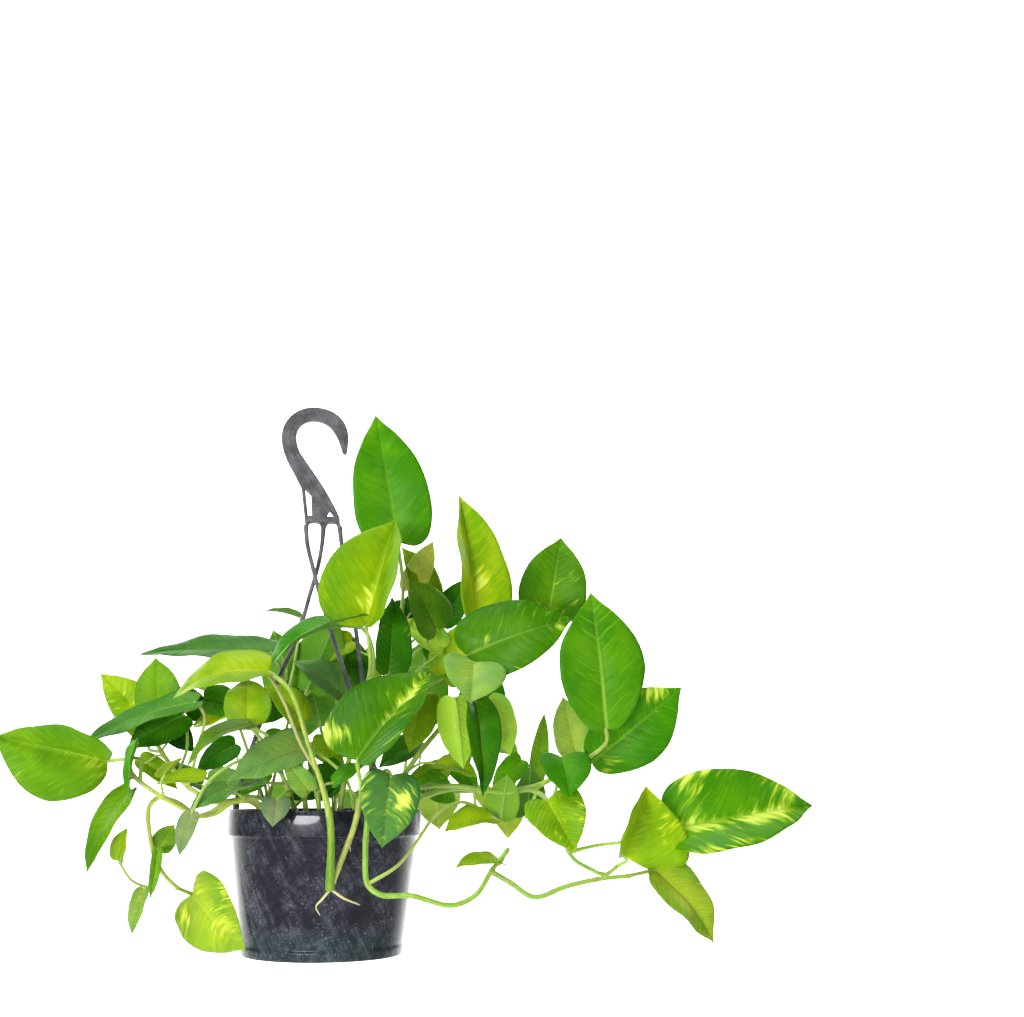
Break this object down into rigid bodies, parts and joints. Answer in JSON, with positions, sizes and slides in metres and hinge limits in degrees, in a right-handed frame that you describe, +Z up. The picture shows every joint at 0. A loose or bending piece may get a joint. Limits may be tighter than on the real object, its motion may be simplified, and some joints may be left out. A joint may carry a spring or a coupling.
{
  "type": "potted pothos plant",
  "caption": "Trailing pothos with heart-shaped, yellow-flecked green leaves, growing in a round black hanging pot with a moulded hook hanger.",
  "frame": {"origin": "inside of the crown of the hanger's hook, the point that the basket hangs from", "axes": "+Z up along the hanging direction, +X to the right as the plant is seen from its front, +Y to the back; the pot's axis is parallel to Z, 16.8 mm to the right of the hook's crown"},
  "size_m": [0.612, 0.2747, 0.4295],
  "materials": {
    "pot_plastic": "moulded charcoal plastic, satin, lightly scratched and dusty",
    "compost": "damp dark crumbly peat compost",
    "hanger_plastic": "moulded dark grey plastic, satin",
    "foliage": "living leaf, waxy sheen over green with yellow and cream flecks"
  },
  "bodies": {
    "root": {"pot": "pot_plastic", "soil": "compost", "hanger": "hanger_plastic", "vine_01": "foliage", "vine_02": "foliage", "vine_03": "foliage", "vine_04": "foliage", "vine_05": "foliage", "vine_06": "foliage", "vine_07": "foliage", "vine_08": "foliage", "vine_09": "foliage", "vine_10": "foliage", "vine_11": "foliage", "vine_12": "foliage", "vine_13": "foliage", "vine_14": "foliage", "vine_15": "foliage"}
  },
  "joints": []
}
